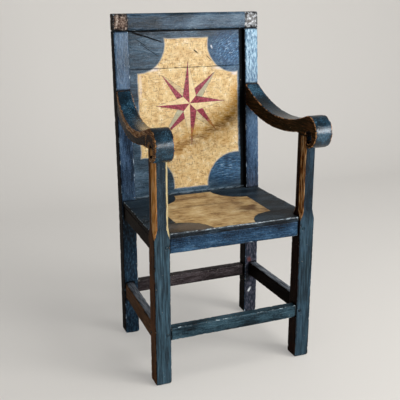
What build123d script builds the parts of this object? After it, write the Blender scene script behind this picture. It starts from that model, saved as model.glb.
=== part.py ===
from build123d import *
import math
import os

# A joined armchair in painted wood: two raked rear posts, two front posts that carry the arms,
# seat rails, stretchers, a panel back of grooved boards, a board seat and two arms that end in
# a rolled scroll. The frame is held by mortises, tenons and pegs, and the seat by nails.
# Millimetres. +X is to the right as seen from the front, +Y is the back, +Z is up; left and
# right in the names are as seen from the front. The origin is the centre of the overall box,
# on the floor.

# ---- overall sizes
overall_height = 1008
front_width = 490            # over the outer faces of the front posts
rear_width = 468             # over the outer faces of the rear posts
frame_depth = 384            # front face of the front posts to back face of the rear legs
seat_height = 450

# ---- posts
front_post_size = 47
rear_post_size = 45
stile_top_depth = 32         # the rear post thins to this at the top
back_rake = 38               # how far the stile's front leans back between the kink and the top
kink_radius = 120            # the bend of the rear post at the seat
foot_chamfer = 4
arris_radius = 2.5           # worn edges of every stick of wood
support_chamfer_side = 15    # chamfer of the arm support, along its side face
support_chamfer_front = 9    # and along its front or back face
chamfer_run = 30             # length over which the chamfer fades out at its foot
chamfer_below_seat = 12      # from the top of the seat down to the tip of the chamfer

# ---- seat
seat_board_thickness = 14
seat_board_count = 3
seat_board_arris = 1.5
seat_side_overhang = 2
rail_height = 44
front_rail_setback = 8       # behind the front face of the posts
front_rail_thickness = 28
rear_rail_inset = 6          # behind the front face of the rear posts
rear_rail_thickness = 34
rear_rail_tenon_inset = 19   # the tenon lies behind the groove for the panel
side_rail_thickness = 26
side_rail_setback = 6        # inside the outer faces of the posts

# ---- stretchers
stretcher_thickness = 26
front_stretcher_bottom = 134
front_stretcher_height = 39
rear_stretcher_bottom = 136
rear_stretcher_height = 40
left_stretcher_bottom = 127
left_stretcher_height = 53
right_stretcher_bottom = 138
right_stretcher_height = 47
front_stretcher_setback = 3  # behind the front face of the front posts
side_stretcher_setback = 3   # inside the outer faces of the posts
rear_stretcher_inset = 12    # behind the front face of the rear posts

# ---- back
crest_height = 49
crest_arris = 5
panel_recess = 16            # behind the front face of the stiles
panel_thickness = 9
groove_depth = 8
top_board_height = 114       # as it shows below the crest rail
bottom_board_height = 175    # as it shows above the seat

# ---- arms; heights are above or below the shoulder of the front post that the arm rests on
arm_shoulder = 690
arm_top_above = 26           # lowest point of the arm's upper face
arm_top_low_back = 150       # its distance behind the front face of the post
arm_under_below = 12         # lowest point of the arm's underside
arm_under_low_back = 165
arm_stile_top_above = 98     # upper face of the arm where it meets the stile
arm_stile_under_above = 33
arm_rear_width = 45
arm_front_width = 53
arm_outset = 7               # how far the arm's front end stands outside the post's centre
arm_arris = 1.2
scroll_radius = 45
scroll_centre_front = 12     # in front of the post's front face
scroll_centre_above = 11
scroll_band = 24             # thickness of the curl at its front
scroll_end = 13              # and at its lower end
scroll_end_rise = 5          # of the curl's lower end above its lowest point
scroll_gap = 2               # between the end of the curl and the post

# ---- joints
tenon_thickness = 10
tenon_length = 24
side_tenon_length = 16
tenon_shoulder = 6           # above and below each tenon
crest_tenon_length = 25
crest_tenon_width = 24
crest_tenon_outset = 9       # inside the outer face of the stile
arm_tenon = 20               # side and length of the square tenon on top of the front post
arm_rear_tenon_width = 12
arm_rear_tenon_shoulder = 16
fit = 0.2                    # clearance round a tenon or a board in its groove
end_gap = 1                  # space beyond the end of a tenon
board_gap = 0.4              # between neighbouring boards
root = 1                     # how far a tenon is drawn into its own piece, so that they are one

# ---- fasteners
peg_width = 8                # of the riven peg, from one flat to the opposite one
peg_sides = 8
peg_length = 34
side_peg_length = 28
peg_inset = 11               # from the shoulder of a tenon that runs side to side
side_peg_inset = 8           # from the shoulder of a tenon that runs front to back
nail_head = 6                # side of the square head
nail_head_thickness = 1.6
nail_shank = 3               # side of the square shank
nail_length = 34
nail_inset = 12              # from the side edge of the seat
nail_spacing = 58            # the two nails in each end of a seat board
front_nail_spacing = 32
front_nail_shift = 30        # the first board's nails stand back, clear of the post

# ---- places that follow from the sizes above
scroll_reach = scroll_centre_front + scroll_radius
back_overhang = back_rake + stile_top_depth - rear_post_size
front = -(scroll_reach + frame_depth + back_overhang) / 2 + scroll_reach
front_back = front + front_post_size
rear_back = front + frame_depth
rear_front = rear_back - rear_post_size
front_inner = front_width / 2 - front_post_size
rear_inner = rear_width / 2 - rear_post_size
rail_top = seat_height - seat_board_thickness
rail_bottom = rail_top - rail_height
crest_bottom = overall_height - crest_height
rake_slope = back_rake / (overall_height - rail_top)
back_slope = back_overhang / (overall_height - rail_top)
side_slope = (rear_width - front_width) / 2 / (rear_front - front)
arm_stile_top = arm_shoulder + arm_stile_top_above
arm_stile_under = arm_shoulder + arm_stile_under_above
front_post_x = front_inner + front_post_size / 2
front_post_y = front + front_post_size / 2
stile_x = rear_inner + rear_post_size / 2


def box(x0, x1, y0, y1, z0, z1):
    """A block between two corners."""
    centre = Pos((x0 + x1) / 2, (y0 + y1) / 2, (z0 + z1) / 2)
    return centre * Box(abs(x1 - x0), abs(y1 - y0), abs(z1 - z0))


def across(outline, x0, x1):
    """A side outline in Y and Z, drawn out from x0 to x1."""
    return Pos(x0, 0, 0) * extrude(Plane.YZ * outline, x1 - x0)


def mirrored(solid):
    return mirror(solid, Plane.YZ)


def stile_front(z):
    """Front face of the raked stile, which starts to lean at the top of the seat rails."""
    return rear_front + (z - rail_top) * rake_slope


def stile_back(z):
    return rear_back + (z - rail_top) * back_slope


def raked_slab(x0, x1, inset, thickness, z0, z1):
    """A board in the plane of the raked back, inset behind the front of the stiles."""
    low, high = stile_front(z0) + inset, stile_front(z1) + inset
    outline = Polyline((low, z0), (high, z1), (high + thickness, z1), (low + thickness, z0), close=True)
    return across(make_face(outline), x0, x1)


def panel_groove(half, z0, z1):
    """The groove that holds an edge of the back panel."""
    return raked_slab(-half, half, panel_recess - fit, panel_thickness + 2 * fit, z0, z1)


# ---- rails and stretchers that run from side to side

def cross_member(half, y, thickness, z, height, tenon_inset):
    body = box(-half, half, y, y + thickness, z, z + height)
    body = fillet(body.edges().filter_by(Axis.X), arris_radius)
    tenon = box(-half - tenon_length, half + tenon_length, y + tenon_inset, y + tenon_inset + tenon_thickness,
                z + tenon_shoulder, z + height - tenon_shoulder)
    return body + tenon


def cross_mortise(half, y, z, height, tenon_inset):
    """The slot for the right-hand tenon of such a member."""
    start = y + tenon_inset - fit
    return box(half - root, half + tenon_length + end_gap, start, start + tenon_thickness + 2 * fit,
               z + tenon_shoulder - fit, z + height - tenon_shoulder + fit)


def centred(thickness):
    """Inset of a tenon in the middle of a member."""
    return (thickness - tenon_thickness) / 2


front_rail = (front_inner, front + front_rail_setback, front_rail_thickness, rail_bottom, rail_height,
              centred(front_rail_thickness))
rear_rail = (rear_inner, rear_front + rear_rail_inset, rear_rail_thickness, rail_bottom, rail_height,
             rear_rail_tenon_inset)
low_front = (front_inner, front + front_stretcher_setback, stretcher_thickness, front_stretcher_bottom,
             front_stretcher_height, centred(stretcher_thickness))
low_rear = (rear_inner, rear_front + rear_stretcher_inset, stretcher_thickness, rear_stretcher_bottom,
            rear_stretcher_height, centred(stretcher_thickness))


def mortised(post, member):
    half, y, thickness, z, height, tenon_inset = member
    return post - cross_mortise(half, y, z, height, tenon_inset)


def rear_seat_rail():
    """Its top edge is grooved for the foot of the back panel."""
    return cross_member(*rear_rail) - panel_groove(rear_inner, rail_top - groove_depth, rail_top + root)


# ---- rails and stretchers that run from front to back, on the right-hand side of the chair

side_rail = (side_rail_thickness, side_rail_setback, rail_bottom, rail_height)
low_left = (stretcher_thickness, side_stretcher_setback, left_stretcher_bottom, left_stretcher_height)
low_right = (stretcher_thickness, side_stretcher_setback, right_stretcher_bottom, right_stretcher_height)


def side_ends(setback):
    """Outer face of a side member where it meets the front post and the rear post."""
    return (front_width / 2 - setback + side_slope * front_post_size, front_back), \
           (rear_width / 2 - setback, rear_front)


def side_tenons(thickness, setback, z, height, slack, beyond):
    """The two end tenons of a side member or, with slack, the mortises for them."""
    tenons = []
    for (outer, y), way in zip(side_ends(setback), (-1, 1)):
        x = outer - centred(thickness) - tenon_thickness
        tenons.append(box(x - slack, x + tenon_thickness + slack, y - way * root,
                          y + way * (side_tenon_length + beyond),
                          z + tenon_shoulder - slack, z + height - tenon_shoulder + slack))
    return tenons


def side_member(thickness, setback, z, height):
    """It follows the taper of the chair in plan."""
    (x0, y0), (x1, y1) = side_ends(setback)
    plan = make_face(Polyline((x0, y0), (x1, y1), (x1 - thickness, y1), (x0 - thickness, y0), close=True))
    body = Pos(0, 0, z) * extrude(plan, height)
    body = fillet(body.edges().filter_by(Axis.Z, reverse=True).filter_by(Axis.X, reverse=True), arris_radius)
    return body + side_tenons(thickness, setback, z, height, 0, 0)


# ---- posts, on the right-hand side of the chair

def support_chamfer(x_sign, y_sign):
    """The sliver that the chamfer takes off one arris of the arm support, from its stopped foot
    up to the arm."""
    x, y = x_sign * front_post_size / 2, y_sign * front_post_size / 2

    def corner(z, share):
        reach = ((x, y), (x - x_sign * support_chamfer_front * share, y),
                 (x, y - y_sign * support_chamfer_side * share))
        return Pos(0, 0, z) * make_face(Polyline(*reach, close=True))

    fade = arris_radius / support_chamfer_side / 4
    foot = seat_height - chamfer_below_seat
    return loft([corner(foot, fade), corner(foot + chamfer_run, 1), corner(arm_shoulder + root, 1)], ruled=True)


def front_post(stretcher):
    """Leg and arm support in one stick."""
    body = box(-front_post_size / 2, front_post_size / 2, -front_post_size / 2, front_post_size / 2,
               0, arm_shoulder)
    body = chamfer(body.faces().sort_by(Axis.Z)[0].edges(), foot_chamfer)
    body = fillet(body.edges().filter_by(Axis.Z), arris_radius)
    body -= [support_chamfer(x_sign, y_sign) for x_sign in (-1, 1) for y_sign in (-1, 1)]
    body += box(-arm_tenon / 2, arm_tenon / 2, -arm_tenon / 2, arm_tenon / 2,
                arm_shoulder - root, arm_shoulder + arm_tenon)
    body = Pos(front_post_x, front_post_y, 0) * body
    body = mortised(mortised(body, front_rail), low_front)
    return body - side_tenons(*side_rail, fit, end_gap) - side_tenons(*stretcher, fit, end_gap)


def stile_tenon(slack, beyond):
    """The tongue on top of the stile that enters the crest rail."""
    outer = rear_width / 2 - crest_tenon_outset
    return raked_slab(outer - crest_tenon_width - slack, outer + slack, centred(stile_top_depth) - slack,
                      tenon_thickness + 2 * slack, crest_bottom - root, crest_bottom + crest_tenon_length + beyond)


def arm_rear_tenon(slack, beyond):
    """The tongue on the arm's rear end that enters the stile."""
    half = arm_rear_tenon_width / 2 + slack
    return raked_slab(stile_x - half, stile_x + half, -root, root + side_tenon_length + beyond,
                      arm_stile_under + arm_rear_tenon_shoulder - slack,
                      arm_stile_top - arm_rear_tenon_shoulder + slack)


def rear_post(stretcher):
    """Leg and back stile sawn from one board, with a bend where the seat meets it."""
    outline = make_face(Polyline(
        (rear_front, 0), (rear_front, rail_top), (stile_front(crest_bottom), crest_bottom),
        (stile_back(crest_bottom), crest_bottom), (rear_back, rail_top), (rear_back, 0), close=True))
    outline = fillet(outline.vertices().sort_by(Axis.Y)[2:4], kink_radius)
    body = across(outline, rear_inner, rear_width / 2)
    body = chamfer(body.faces().sort_by(Axis.Z)[0].edges(), foot_chamfer)
    upright = body.edges().filter_by(lambda edge: edge.bounding_box().size.Z > 2 * foot_chamfer)
    body = fillet(upright, arris_radius)
    body += stile_tenon(0, 0)
    body -= panel_groove(rear_inner + groove_depth, rail_top - groove_depth, crest_bottom + root) & \
        box(rear_inner - root, rear_width, rear_front, rear_width, 0, crest_bottom)
    body -= arm_rear_tenon(fit, end_gap)
    body = mortised(mortised(body, rear_rail), low_rear)
    return body - side_tenons(*side_rail, fit, end_gap) - side_tenons(*stretcher, fit, end_gap)


# ---- back

def crest_rail():
    """Runs across the tops of both stiles, its front face level with theirs."""
    z0, z1 = crest_bottom, overall_height
    outline = Polyline((stile_front(z0), z0), (stile_front(z1), z1), (stile_back(z1), z1),
                       (stile_back(z0), z0), close=True)
    body = across(make_face(outline), -rear_width / 2, rear_width / 2)
    body = fillet(body.edges().filter_by(Axis.X).sort_by(Axis.Z)[2:], crest_arris)
    body -= panel_groove(rear_inner + groove_depth, crest_bottom - root, crest_bottom + groove_depth)
    socket = stile_tenon(fit, end_gap)
    return body - socket - mirrored(socket)


def back_board(z0, z1):
    half = rear_inner + groove_depth - end_gap
    return raked_slab(-half, half, panel_recess, panel_thickness, z0, z1)


# ---- seat

seat_front = front + front_rail_setback
seat_back = rear_front + panel_recess - board_gap
board_pitch = (seat_back + board_gap - seat_front) / seat_board_count


def seat_edge(y):
    """Side edge of the seat, which overhangs the side rail."""
    return front_width / 2 - side_rail_setback + seat_side_overhang + side_slope * (y - front)


def seat_boards():
    """Boards laid side to side, the first and last notched round the posts."""
    plan = make_face(Polyline((-seat_edge(seat_front), seat_front), (seat_edge(seat_front), seat_front),
                              (seat_edge(seat_back), seat_back), (-seat_edge(seat_back), seat_back), close=True))
    slab = Pos(0, 0, rail_top) * extrude(plan, seat_board_thickness)
    for way in (-1, 1):
        slab -= box(way * (front_inner - board_gap), way * front_width, seat_front,
                    front_back + board_gap, rail_top, seat_height)
        slab -= box(way * (rear_inner - board_gap), way * front_width, rear_front - board_gap,
                    seat_back, rail_top, seat_height)
    boards = []
    for i in range(seat_board_count):
        start = seat_front + i * board_pitch
        board = slab & box(-front_width, front_width, start, start + board_pitch - board_gap,
                           rail_top, seat_height)
        top_edges = board.edges().filter_by(Axis.X).group_by(Axis.Z)[-1]
        long_edges = top_edges.filter_by(lambda edge: edge.length > rear_inner)
        boards.append(fillet(long_edges, seat_board_arris))
    return boards


# ---- arms, on the right-hand side of the chair

def arm_side_outline():
    """The sawn side of the arm: a hollow sweep that rolls over into a curl at the front.
    The curl is a crescent. It is thickest where the arm rolls over and thins to its lower end,
    which comes back almost to the post."""
    low = (front + arm_top_low_back, arm_shoulder + arm_top_above)
    centre = (front - scroll_centre_front, arm_shoulder + scroll_centre_above)
    # the hollow sweep and the round of the scroll meet on one tangent
    run, drop = low[0] - centre[0], centre[1] + scroll_radius - low[1]
    turn = 2 * math.atan(drop / run)
    sweep = run / math.sin(turn) - scroll_radius
    join = (centre[0] + scroll_radius * math.sin(turn), centre[1] + scroll_radius * math.cos(turn))
    halfway = (low[0] - sweep * math.sin(turn / 2), low[1] + sweep * (1 - math.cos(turn / 2)))
    foremost = (centre[0] - scroll_radius, centre[1])
    lowest = (centre[0], centre[1] - scroll_radius)
    curl_end = front - scroll_gap
    end_low = (curl_end, lowest[1] + scroll_end_rise)
    end_high = (curl_end, end_low[1] + scroll_end)
    hollow_top = (curl_end, arm_shoulder + scroll_centre_above - scroll_gap)
    hollow_front = (foremost[0] + scroll_band, (hollow_top[1] + end_high[1]) / 2)
    under_low = (front + arm_under_low_back, arm_shoulder - arm_under_below)
    rear_top = (stile_front(arm_stile_top), arm_stile_top)
    rear_under = (stile_front(arm_stile_under), arm_stile_under)
    post_rear, post_front = (front_back, arm_shoulder), (front, arm_shoulder)
    return make_face(Curve() + [
        TangentArc(low, rear_top, tangent=(1, 0)),
        Line(rear_top, rear_under),
        TangentArc(under_low, rear_under, tangent=(1, 0)),
        TangentArc(under_low, post_rear, tangent=(-1, 0)),
        Line(post_rear, post_front),
        Line(post_front, hollow_top),
        ThreePointArc(hollow_top, hollow_front, end_high),
        Line(end_high, end_low),
        TangentArc(lowest, end_low, tangent=(1, 0)),
        ThreePointArc(lowest, foremost, join),
        ThreePointArc(join, halfway, low)])


def arm_plan_outline():
    """The arm from above: it widens and swings outward towards the scroll."""
    def side(way):
        rear = (stile_x + way * arm_rear_width / 2, stile_front(arm_stile_top))
        swung = (front_post_x + arm_outset + way * arm_front_width / 2, front_back)
        return rear, swung, (swung[0], front - scroll_reach)

    inner_rear, inner, inner_front = side(-1)
    outer_rear, outer, outer_front = side(1)
    return make_face(Curve() + [
        Line(inner_front, inner),
        TangentArc(inner, inner_rear, tangent=(0, 1)),
        Line(inner_rear, outer_rear),
        TangentArc(outer, outer_rear, tangent=(0, 1)),
        Line(outer, outer_front),
        Line(outer_front, inner_front)])


def arm():
    """Sawn to shape from the side and then from above, as such an arm is made."""
    body = across(arm_side_outline(), 0, front_width) & extrude(arm_plan_outline(), overall_height)
    # the eased arris starts on the scroll and runs on along both edges of the upper face
    body = chamfer(body.edges().filter_by(GeomType.CIRCLE).sort_by(SortBy.LENGTH)[-2:], arm_arris)
    body += arm_rear_tenon(0, 0)
    half = arm_tenon / 2 + fit
    socket = box(-half, half, -half, half, arm_shoulder - root, arm_shoulder + arm_tenon + end_gap)
    return body - Pos(front_post_x, front_post_y, 0) * socket


# ---- fasteners

def peg(place, way, length):
    """Riven and pared to eight sides. Its head is level with the wood; way is the direction in
    which it is driven."""
    section = RegularPolygon(peg_width / 2, peg_sides, major_radius=False)
    return extrude(Plane(origin=place, z_dir=way) * section, length)


def middle(stretcher_bottom, stretcher_height):
    return stretcher_bottom + stretcher_height / 2


def joint_pegs():
    """One peg through each tenon of the rails and stretchers."""
    pegs = []
    rail_z = middle(rail_bottom, rail_height)
    side_heights = {-1: middle(left_stretcher_bottom, left_stretcher_height),
                    1: middle(right_stretcher_bottom, right_stretcher_height)}
    for way, side_z in side_heights.items():
        for z in (rail_z, middle(front_stretcher_bottom, front_stretcher_height)):
            pegs.append(peg((way * (front_inner + peg_inset), front, z), (0, 1, 0), peg_length))
        for z in (rail_z, middle(rear_stretcher_bottom, rear_stretcher_height)):
            pegs.append(peg((way * (rear_inner + peg_inset), rear_back, z), (0, -1, 0), peg_length))
        for z in (rail_z, side_z):
            for x, y in ((front_width / 2, front_back - side_peg_inset),
                         (rear_width / 2, rear_front + side_peg_inset)):
                pegs.append(peg((way * x, y, z), (-way, 0, 0), side_peg_length))
    return pegs


def nail(x, y):
    """A cut nail, square in section, its head let in level with the seat."""
    head = Pos(x, y, seat_height - nail_head_thickness / 2) * Box(nail_head, nail_head, nail_head_thickness)
    shank = Pos(x, y, seat_height - nail_length / 2) * Box(nail_shank, nail_shank, nail_length)
    return head + shank


def seat_nails():
    """Two nails in each end of each seat board, driven into the side rails."""
    nails = []
    for i in range(seat_board_count):
        centre = seat_front + (i + 0.5) * board_pitch
        spacing = nail_spacing
        if i == 0:
            centre += front_nail_shift
            spacing = front_nail_spacing
        for y in (centre - spacing / 2, centre + spacing / 2):
            nails += [nail(way * (seat_edge(y) - nail_inset), y) for way in (-1, 1)]
    return nails


# ---- assembly

pegs = joint_pegs()
nails = seat_nails()
boards = seat_boards()
seam_low = seat_height + bottom_board_height
seam_high = crest_bottom - top_board_height

parts = {
    "front_post_left": mirrored(front_post(low_left)),
    "front_post_right": front_post(low_right),
    "rear_post_left": mirrored(rear_post(low_left)),
    "rear_post_right": rear_post(low_right),
    "front_seat_rail": cross_member(*front_rail),
    "rear_seat_rail": rear_seat_rail(),
    "side_seat_rail_left": mirrored(side_member(*side_rail)),
    "side_seat_rail_right": side_member(*side_rail),
    "front_stretcher": cross_member(*low_front),
    "rear_stretcher": cross_member(*low_rear),
    "side_stretcher_left": mirrored(side_member(*low_left)),
    "side_stretcher_right": side_member(*low_right),
    "crest_rail": crest_rail(),
    "back_board_top": back_board(seam_high, crest_bottom + groove_depth - end_gap),
    "back_board_middle": back_board(seam_low, seam_high - board_gap),
    "back_board_bottom": back_board(rail_top - groove_depth + fit, seam_low - board_gap),
    "seat_board_front": boards[0],
    "seat_board_middle": boards[1],
    "seat_board_rear": boards[-1],
    "arm_left": mirrored(arm()),
    "arm_right": arm(),
}


def near(one, other):
    """Whether the boxes of two solids meet."""
    a, b = one.bounding_box(), other.bounding_box()
    return all(low < high for low, high in [*zip(a.min, b.max), *zip(b.min, a.max)])


def drilled(solid):
    """Takes the holes for the fasteners out of one piece."""
    for fastener in pegs + nails:
        if near(solid, fastener):
            solid = solid - fastener
    return solid


os.makedirs("parts", exist_ok=True)
for name, solid in parts.items():
    export_step(drilled(solid), f"parts/{name}.step")
for name, group in (("joint_pegs", pegs), ("seat_nails", nails)):
    export_step(Compound(children=[fastener.solid() for fastener in group]), f"parts/{name}.step")
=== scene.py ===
import math

import bmesh
import bpy
import numpy as np
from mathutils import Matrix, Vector, noise
from mathutils.bvhtree import BVHTree


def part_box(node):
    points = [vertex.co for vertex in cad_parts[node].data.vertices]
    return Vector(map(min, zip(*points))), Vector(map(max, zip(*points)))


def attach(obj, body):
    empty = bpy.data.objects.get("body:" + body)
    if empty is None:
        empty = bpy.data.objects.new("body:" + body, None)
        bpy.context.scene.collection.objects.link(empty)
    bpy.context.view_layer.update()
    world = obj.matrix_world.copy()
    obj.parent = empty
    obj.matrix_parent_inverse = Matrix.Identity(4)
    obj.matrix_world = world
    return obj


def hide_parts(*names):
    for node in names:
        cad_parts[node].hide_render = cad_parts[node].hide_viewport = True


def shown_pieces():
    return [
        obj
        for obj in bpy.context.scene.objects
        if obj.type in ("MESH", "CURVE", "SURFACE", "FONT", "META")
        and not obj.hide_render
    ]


# A joined armchair of painted wood, dressed piece by piece in the order in which it is put
# together: posts, rails, back, seat, arms, fasteners. Metres in the scene, millimetres in the
# sizes that are written down here. +X is to the right, +Y is the back, +Z is up.
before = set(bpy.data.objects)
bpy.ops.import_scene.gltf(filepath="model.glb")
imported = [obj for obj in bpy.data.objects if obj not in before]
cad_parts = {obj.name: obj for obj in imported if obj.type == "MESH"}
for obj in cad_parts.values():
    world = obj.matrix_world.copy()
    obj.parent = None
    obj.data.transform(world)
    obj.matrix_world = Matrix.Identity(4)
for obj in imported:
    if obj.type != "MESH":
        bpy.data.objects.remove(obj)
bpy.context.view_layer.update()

# ---- front posts
# Leg and arm support in one stick of pine, planed square, with the four arrises of the support
# chamfered between seat and arm. Hands and clothes have rubbed the chamfers back to bare wood.
# The mesh is the sawn form with its arrises worn round; chips are cut into them.
MM = 0.001
post_cell = 2.5              # mesh size that still holds a worn arris
seam_arris = 3               # the sawn arris at a seam lies within this of it
seam_spare = 12              # the mesh is drawn out this far past a seam and sawn off there
dirt_reach = 10              # how far dirt spreads out of a joint
arris_radius = 3             # an arris as sharp as this is rubbed the most
spread_peak = 0.42           # what spreading over the mesh leaves of that most
# the knocks on the arrises: how many waves to the metre, and how high a wave must be
knock_waves = ((70, 0.18), (190, 0.3))
knock_depth = 2.2
timber_step = 0.317          # every piece is cut this many metres further along the timber
sawn_shapes = {name: BVHTree.FromPolygons([v.co for v in node.data.vertices],
                                          [p.vertices for p in node.data.polygons])
               for name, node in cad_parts.items()}


def neighbour_dirt(name, points, bridged):
    """How close each point is to another piece of the chair: 1 in the joint, 0 in the open.
    Pieces that paint bridges to this one gather no dirt between them."""
    dirt = np.zeros(len(points))
    reach = dirt_reach * MM
    for other, tree in sawn_shapes.items():
        if other == name or other.startswith(("joint_pegs", "seat_nails") + bridged):
            continue
        low, high = (np.array(corner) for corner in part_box(other))
        near = np.all((points > low - reach) & (points < high + reach), axis=1)
        for i in np.nonzero(near)[0]:
            distance = tree.find_nearest(points[i], reach)[3]
            if distance is not None:
                dirt[i] = max(dirt[i], 1 - distance / reach)
    return dirt


def smoothed(values, ends, rounds):
    """Spreads a value over the neighbouring points of the mesh."""
    count = np.bincount(ends.ravel(), minlength=len(values)).clip(1)
    for _ in range(rounds):
        total = np.bincount(ends[:, 0], values[ends[:, 1]], len(values)) \
            + np.bincount(ends[:, 1], values[ends[:, 0]], len(values))
        values = (values + total / count) / 2
    return values


def past_the_seams(mesh, node, seams):
    """Draws the mesh out beyond each tight seam, so that its wear stops short of the seam."""
    for axis, end in seams:
        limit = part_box(node)[end > 0][axis]
        for vertex in mesh.vertices:
            if abs(vertex.co[axis] - limit) < seam_arris * MM:
                vertex.co[axis] += end * seam_spare * MM


def cut_at_the_seams(mesh, node, seams):
    """Saws the drawn-out ends off again, which leaves a crisp edge at the seam."""
    body = bmesh.new()
    body.from_mesh(mesh)
    for axis, end in seams:
        outward, place = Vector((0, 0, 0)), Vector((0, 0, 0))
        outward[axis], place[axis] = end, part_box(node)[end > 0][axis]
        cut = bmesh.ops.bisect_plane(body, geom=body.verts[:] + body.edges[:] + body.faces[:],
                                     plane_co=place, plane_no=outward, clear_outer=True)
        rim = [part for part in cut["geom_cut"] if isinstance(part, bmesh.types.BMEdge)]
        caps = bmesh.ops.holes_fill(body, edges=rim)["faces"]
        bmesh.ops.triangulate(body, faces=caps)
    body.to_mesh(mesh)
    body.free()


def worn_piece(node, grain, cell=post_cell, chip=1.6, seams=(), bridged=()):
    """One piece of wood after long use, made from its sawn form: every arris is rubbed round and
    chipped, and the points know how exposed they are (rub), how near a joint (dirt) and where
    they lie in the timber (timber: along the grain first)."""
    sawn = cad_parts[node].data.copy()
    past_the_seams(sawn, node, seams)
    piece = bpy.data.objects.new(node + "_worn", sawn)
    bpy.context.scene.collection.objects.link(piece)
    even = piece.modifiers.new("even", "REMESH")
    even.mode, even.voxel_size, even.use_smooth_shade = "VOXEL", cell * MM, True
    rubbed = piece.modifiers.new("rubbed", "SMOOTH")
    rubbed.factor, rubbed.iterations = 0.5, 3
    bpy.context.view_layer.update()
    rounded = piece.evaluated_get(bpy.context.evaluated_depsgraph_get())
    mesh = bpy.data.meshes.new_from_object(rounded)
    piece.modifiers.clear()
    piece.data = mesh

    count = len(mesh.vertices)
    points = np.empty(count * 3)
    mesh.vertices.foreach_get("co", points)
    points = points.reshape(-1, 3)
    normals = np.array([v.normal for v in mesh.vertices])
    ends = np.empty(len(mesh.edges) * 2, int)
    mesh.edges.foreach_get("vertices", ends)
    ends = ends.reshape(-1, 2)
    along_edge = points[ends[:, 0]] - points[ends[:, 1]]
    bend = np.einsum("ij,ij->i", normals[ends[:, 0]] - normals[ends[:, 1]], along_edge) \
        / np.einsum("ij,ij->i", along_edge, along_edge).clip(1e-12)
    rounding = np.bincount(ends.ravel(), np.repeat(bend, 2), count) \
        / np.bincount(ends.ravel(), minlength=count).clip(1)
    rub = smoothed((rounding * arris_radius * MM).clip(0, 1), ends, 3)
    rub = (rub / spread_peak).clip(0, 1)
    dirt = neighbour_dirt(node, points, bridged)

    knocks = np.array([sum(max(0.0, noise.noise(Vector(p) * waves) - least)
                           for waves, least in knock_waves) for p in points])
    depth = chip * MM * rub * knocks * knock_depth
    mesh.vertices.foreach_set("co", (points - normals * depth[:, None]).ravel())

    axis = "XYZ".index(grain)
    timber = points[:, [axis, (axis + 1) % 3, (axis + 2) % 3]]
    timber = timber + len(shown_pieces()) * timber_step
    for name, kind, values in (("rub", "FLOAT", rub), ("dirt", "FLOAT", dirt),
                               ("timber", "FLOAT_VECTOR", timber)):
        attribute = mesh.attributes.new(name, kind, "POINT")
        attribute.data.foreach_set("vector" if kind == "FLOAT_VECTOR" else "value",
                                   values.ravel().astype(np.float32))
    if seams:
        cut_at_the_seams(mesh, node, seams)
    mesh.update()
    return piece


def linear(hex_colour):
    """A screen colour written as hex, as the renderer's linear colour."""
    shares = [int(hex_colour[i:i + 2], 16) / 255 for i in (1, 3, 5)]
    return tuple(s / 12.92 if s <= 0.04045 else ((s + 0.055) / 1.055) ** 2.4 for s in shares) + (1,)


def add(tree, kind, *inputs, out=0, stops=None, **settings):
    """Adds one node, sets it, links or fills its inputs in order and gives back one output.
    Inputs left out stay as the node has them, so that a MapRange gives 0 to 1."""
    node = tree.nodes.new("ShaderNode" + kind)
    for name, value in settings.items():
        setattr(node, name, value)
    if stops:
        ramp = node.color_ramp
        while len(ramp.elements) < len(stops):
            ramp.elements.new(1)
        for element, (place, colour) in zip(ramp.elements, stops):
            element.position, element.color = place, linear(colour)
    for socket, value in zip([s for s in node.inputs if s.enabled], inputs):
        if isinstance(value, bpy.types.NodeSocket):
            tree.links.new(value, socket)
        elif value is not None:
            socket.default_value = linear(value) if isinstance(value, str) else value
    return [s for s in node.outputs if s.enabled][out]


def streaks(tree, timber, along, across, shift=0.0, detail=3.0):
    """Soft marks that run with the grain, about so many millimetres long and wide."""
    to_the_metre = (1000 / along, 1000 / across, 1000 / across)
    placed = add(tree, "Mapping", timber, (shift,) * 3, None, to_the_metre)
    return add(tree, "TexNoise", placed, 1.0, detail, 0.55)


def turned(tree, facing, axis, none, full):
    """How far a surface is turned along an axis: 0 at the first lean of its face, 1 at the last."""
    return add(tree, "MapRange", add(tree, "SeparateXYZ", facing, out=axis), none, full)


def right_half(tree, here):
    """1 on the right-hand half of the chair, 0 on the left."""
    return add(tree, "MapRange", add(tree, "SeparateXYZ", here, out=0), -0.1, 0.1)


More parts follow.
